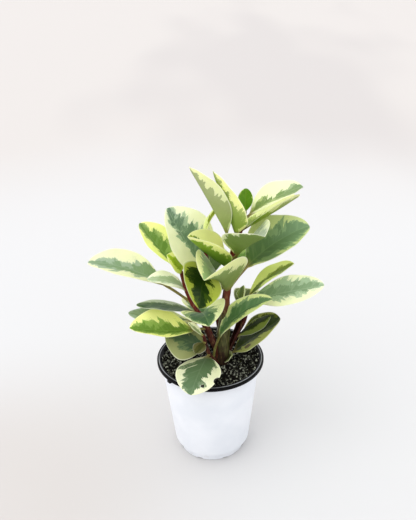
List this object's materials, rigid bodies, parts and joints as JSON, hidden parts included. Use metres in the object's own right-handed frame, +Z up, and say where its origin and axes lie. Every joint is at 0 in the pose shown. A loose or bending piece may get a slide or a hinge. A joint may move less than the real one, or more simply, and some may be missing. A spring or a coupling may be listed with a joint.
{
  "type": "potted peperomia",
  "caption": "Bushy variegated peperomia with cream-edged leaves on reddish stems, growing in a small round plastic nursery pot.",
  "frame": {"origin": "middle of the pot's foot, on the surface that the pot stands on", "axes": "+Z up the pot's axis, +X to the right in the picture, -Y to the front"},
  "size_m": [0.2297, 0.1347, 0.3141],
  "materials": {
    "pot_wall": "matte white polypropylene",
    "pot_lining": "semi-gloss black polypropylene",
    "soil": "coarse dark potting mix with perlite",
    "stem": "smooth reddish stem",
    "leaf": "waxy leaf with a cream edge"
  },
  "bodies": {
    "root": {"pot_wall": "pot_wall", "pot_lining": "pot_lining", "soil": "soil", "stems": "stem", "leaf_crown_left": "leaf", "leaf_crown_mid": "leaf", "leaf_crown_bud": "leaf", "leaf_crown_right_back": "leaf", "leaf_crown_right": "leaf", "leaf_crown_front": "leaf", "leaf_right_large": "leaf", "leaf_front_boat": "leaf", "leaf_front_yellow": "leaf", "leaf_left_large": "leaf", "leaf_slim_back": "leaf", "leaf_left_upper": "leaf", "leaf_left_small": "leaf", "leaf_left_far": "leaf", "leaf_left_pale": "leaf", "leaf_front_hanging": "leaf", "leaf_left_grey": "leaf", "leaf_left_grey_low": "leaf", "leaf_left_low": "leaf", "leaf_front_low": "leaf", "leaf_right_low": "leaf", "leaf_right_far": "leaf", "leaf_right_small": "leaf", "leaf_right_shade": "leaf", "leaf_right_shade_small": "leaf", "leaf_left_bottom": "leaf", "leaf_left_shoot": "leaf", "leaf_over_rim": "leaf", "leaf_right_shoot": "leaf", "leaf_left_sliver": "leaf", "leaf_mid_sliver": "leaf", "leaf_back_upper_right": "leaf", "leaf_back_upper_left": "leaf", "leaf_back_right": "leaf", "leaf_back_left": "leaf", "leaf_back_mid": "leaf", "leaf_back_low": "leaf"}
  },
  "joints": []
}
